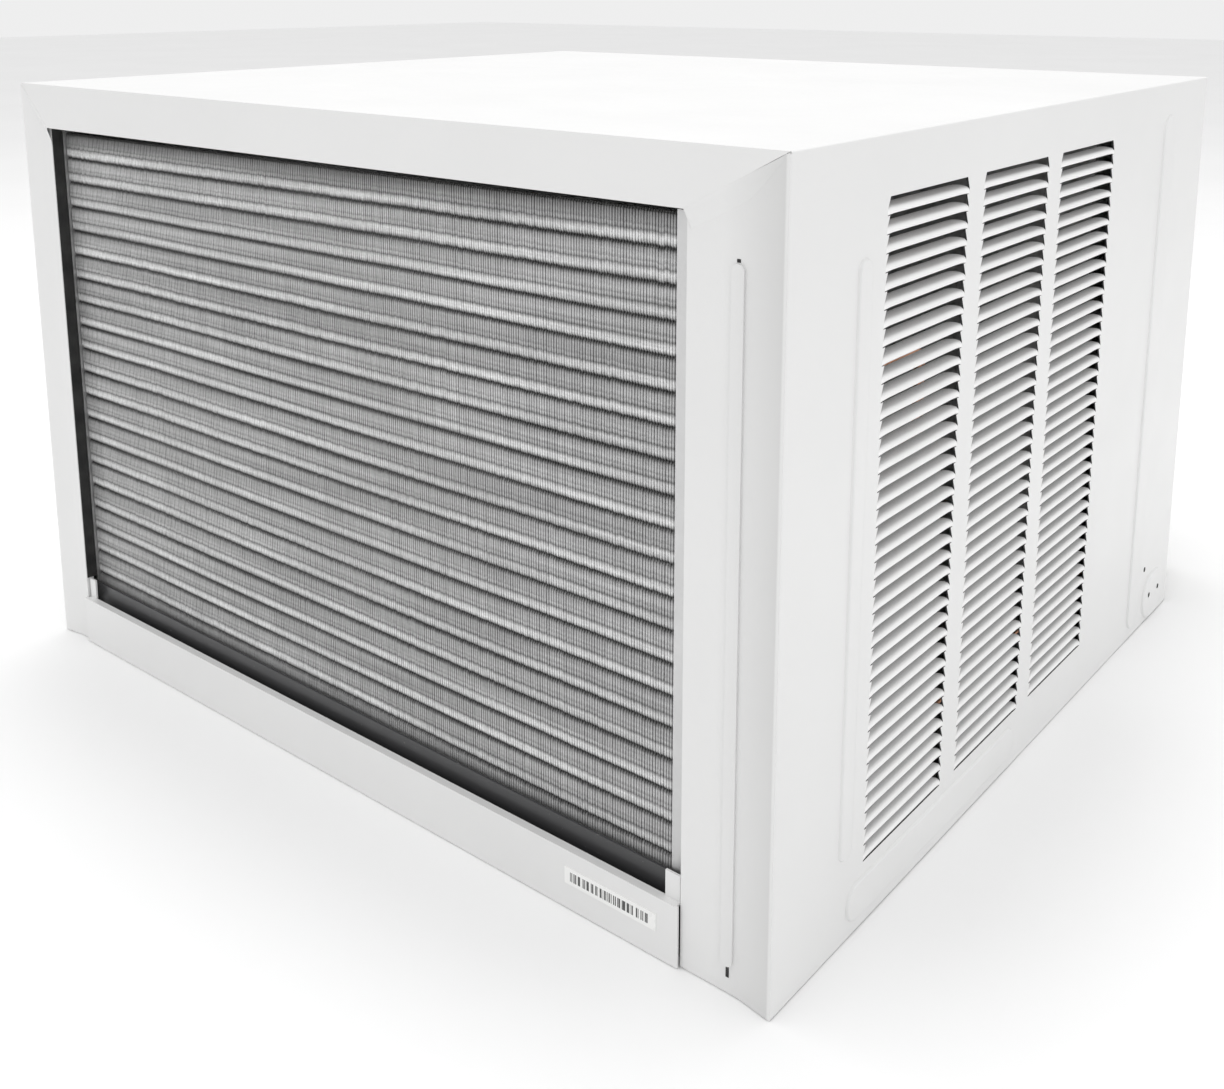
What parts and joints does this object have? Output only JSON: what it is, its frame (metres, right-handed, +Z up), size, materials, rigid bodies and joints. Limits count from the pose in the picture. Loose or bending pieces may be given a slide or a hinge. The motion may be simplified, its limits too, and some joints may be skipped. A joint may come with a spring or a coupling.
{
  "type": "window air conditioner",
  "caption": "Through-wall window air conditioner with slide-out chassis, louvered white steel cabinet, exposed rear condenser coil and room-side controls.",
  "frame": {"origin": "centre of the bounding box at its lowest level, on the underside of the cabinet floor", "axes": "+Z up, +Y outdoors towards the condenser, -Y the room, +X to the right seen from the room"},
  "size_m": [0.66, 0.672, 0.43],
  "materials": {
    "cabinet_paint": "satin white enamel",
    "galvanised": "zinc coated",
    "pan_paint": "matt dark grey",
    "fin_aluminium": "thin rolled fins",
    "copper": "drawn copper",
    "compressor_paint": "gloss black enamel",
    "motor_shell": "cast and rolled shell",
    "rubber_black": "matt",
    "fastener": "zinc plated",
    "fan_plastic": "moulded grey",
    "duct_foam": "moulded foam",
    "front_plastic": "fine textured",
    "vane_plastic": "moulded",
    "filter_plastic": "frame and mesh",
    "control_plastic": "moulded",
    "plate_film": "blank film"
  },
  "bodies": {
    "cabinet": {"cabinet_side_right": "cabinet_paint", "cabinet_side_left": "cabinet_paint", "cabinet_top": "cabinet_paint", "cabinet_floor": "galvanised", "rear_frame_right": "cabinet_paint", "rear_frame_left": "cabinet_paint", "rear_frame_top": "cabinet_paint", "rear_sill": "cabinet_paint", "corner_brackets": "cabinet_paint", "rating_plate": "plate_film"},
    "chassis": {"base_pan": "pan_paint", "condenser_fins": "fin_aluminium", "condenser_end_plates": "galvanised", "condenser_tubes": "copper", "fan_shroud": "pan_paint", "fan_motor": "motor_shell", "motor_bracket": "galvanised", "motor_bolts": "fastener", "bulkhead": "galvanised", "blower_scroll": "duct_foam", "evaporator_fins": "fin_aluminium", "evaporator_end_plates": "galvanised", "evaporator_tubes": "copper", "drip_tray": "front_plastic", "compressor_shell": "compressor_paint", "compressor_grommets": "rubber_black", "compressor_studs": "fastener", "terminal_cover": "control_plastic", "accumulator": "galvanised", "discharge_line": "copper", "suction_line": "copper", "liquid_line": "copper", "capillary_tube": "copper", "front_frame": "front_plastic", "cord_gland": "rubber_black", "discharge_duct": "duct_foam", "control_panel": "front_plastic", "selector_switch": "control_plastic", "thermostat": "control_plastic", "control_box": "galvanised", "run_capacitor": "motor_shell"},
    "rotor": {"motor_shaft": "fastener", "condenser_fan": "fan_plastic", "blower_wheel": "fan_plastic"},
    "mode_knob": {"mode_knob": "control_plastic"},
    "thermostat_knob": {"thermostat_knob": "control_plastic"},
    "louver_blade_1": {"louver_blade_1": "front_plastic"},
    "louver_blade_2": {"louver_blade_2": "front_plastic"},
    "louver_blade_3": {"louver_blade_3": "front_plastic"},
    "vertical_vane_1": {"vertical_vane_1": "vane_plastic"},
    "vertical_vane_2": {"vertical_vane_2": "vane_plastic"},
    "vertical_vane_3": {"vertical_vane_3": "vane_plastic"},
    "vertical_vane_4": {"vertical_vane_4": "vane_plastic"},
    "vertical_vane_5": {"vertical_vane_5": "vane_plastic"},
    "vertical_vane_6": {"vertical_vane_6": "vane_plastic"},
    "vane_link": {"vane_link": "vane_plastic"},
    "intake_grille": {"intake_grille": "front_plastic"},
    "air_filter": {"air_filter": "filter_plastic"},
    "vent_lever": {"vent_lever": "control_plastic"},
    "vent_door": {"vent_door": "galvanised"}
  },
  "joints": [
    {"name": "chassis_slide", "type": "slide", "parent": "cabinet", "child": "chassis", "axis": [0, -1, 0], "range_m": [0, 0.45]},
    {"name": "fan_spin", "type": "hinge", "parent": "chassis", "child": "rotor", "pos_m": [-0.045, 0, 0.196], "axis": [0, 1, 0], "continuous": true},
    {"name": "mode_knob_turn", "type": "hinge", "parent": "chassis", "child": "mode_knob", "pos_m": [0.246, -0.32, 0.32], "axis": [0, 1, 0], "range_deg": [0, 180]},
    {"name": "thermostat_knob_turn", "type": "hinge", "parent": "chassis", "child": "thermostat_knob", "pos_m": [0.246, -0.32, 0.22], "axis": [0, 1, 0], "range_deg": [-135, 135]},
    {"name": "louver_tilt_2", "type": "hinge", "parent": "chassis", "child": "louver_blade_2", "pos_m": [0, -0.3195, 0.363], "axis": [1, 0, 0], "range_deg": [-30, 40]},
    {"name": "louver_tilt_1", "type": "hinge", "parent": "chassis", "child": "louver_blade_1", "pos_m": [0, -0.3195, 0.33167], "axis": [1, 0, 0], "range_deg": [-30, 40]},
    {"name": "louver_tilt_3", "type": "hinge", "parent": "chassis", "child": "louver_blade_3", "pos_m": [0, -0.3195, 0.39433], "axis": [1, 0, 0], "range_deg": [-30, 40]},
    {"name": "vane_turn_1", "type": "hinge", "parent": "chassis", "child": "vertical_vane_1", "pos_m": [-0.2525, -0.279, 0.363], "axis": [0, 0, 1], "range_deg": [-30, 30]},
    {"name": "vane_turn_2", "type": "hinge", "parent": "chassis", "child": "vertical_vane_2", "pos_m": [-0.1735, -0.279, 0.363], "axis": [0, 0, 1], "range_deg": [-30, 30]},
    {"name": "vane_turn_3", "type": "hinge", "parent": "chassis", "child": "vertical_vane_3", "pos_m": [-0.0945, -0.279, 0.363], "axis": [0, 0, 1], "range_deg": [-30, 30]},
    {"name": "vane_turn_4", "type": "hinge", "parent": "chassis", "child": "vertical_vane_4", "pos_m": [-0.0155, -0.279, 0.363], "axis": [0, 0, 1], "range_deg": [-30, 30]},
    {"name": "vane_turn_5", "type": "hinge", "parent": "chassis", "child": "vertical_vane_5", "pos_m": [0.0635, -0.279, 0.363], "axis": [0, 0, 1], "range_deg": [-30, 30]},
    {"name": "vane_turn_6", "type": "hinge", "parent": "chassis", "child": "vertical_vane_6", "pos_m": [0.1425, -0.279, 0.363], "axis": [0, 0, 1], "range_deg": [-30, 30]},
    {"name": "vane_link_slide", "type": "slide", "parent": "chassis", "child": "vane_link", "axis": [1, 0, 0], "range_m": [-0.0072, 0.0072]},
    {"name": "grille_hinge", "type": "hinge", "parent": "chassis", "child": "intake_grille", "pos_m": [0, -0.331, 0.03], "axis": [1, 0, 0], "range_deg": [0, 75]},
    {"name": "filter_slide", "type": "slide", "parent": "chassis", "child": "air_filter", "axis": [-1, 0, 0], "range_m": [0, 0.42]},
    {"name": "vent_door_swing", "type": "hinge", "parent": "chassis", "child": "vent_door", "pos_m": [0.26, -0.0734, 0.354], "axis": [1, 0, 0], "range_deg": [0, 40]},
    {"name": "vent_lever_slide", "type": "slide", "parent": "chassis", "child": "vent_lever", "axis": [0, 0, 1], "range_m": [0, 0.02]}
  ],
  "couplings": [
    {"joint": "louver_tilt_1", "follows": "louver_tilt_2", "ratio": 1},
    {"joint": "louver_tilt_3", "follows": "louver_tilt_2", "ratio": 1},
    {"joint": "vane_turn_2", "follows": "vane_turn_1", "ratio": 1},
    {"joint": "vane_turn_3", "follows": "vane_turn_1", "ratio": 1},
    {"joint": "vane_turn_4", "follows": "vane_turn_1", "ratio": 1},
    {"joint": "vane_turn_5", "follows": "vane_turn_1", "ratio": 1},
    {"joint": "vane_turn_6", "follows": "vane_turn_1", "ratio": 1},
    {"joint": "vane_link_slide", "follows": "vane_turn_1", "m_per_rad": -0.013},
    {"joint": "vent_lever_slide", "follows": "vent_door_swing", "m_per_rad": 0.0286}
  ]
}
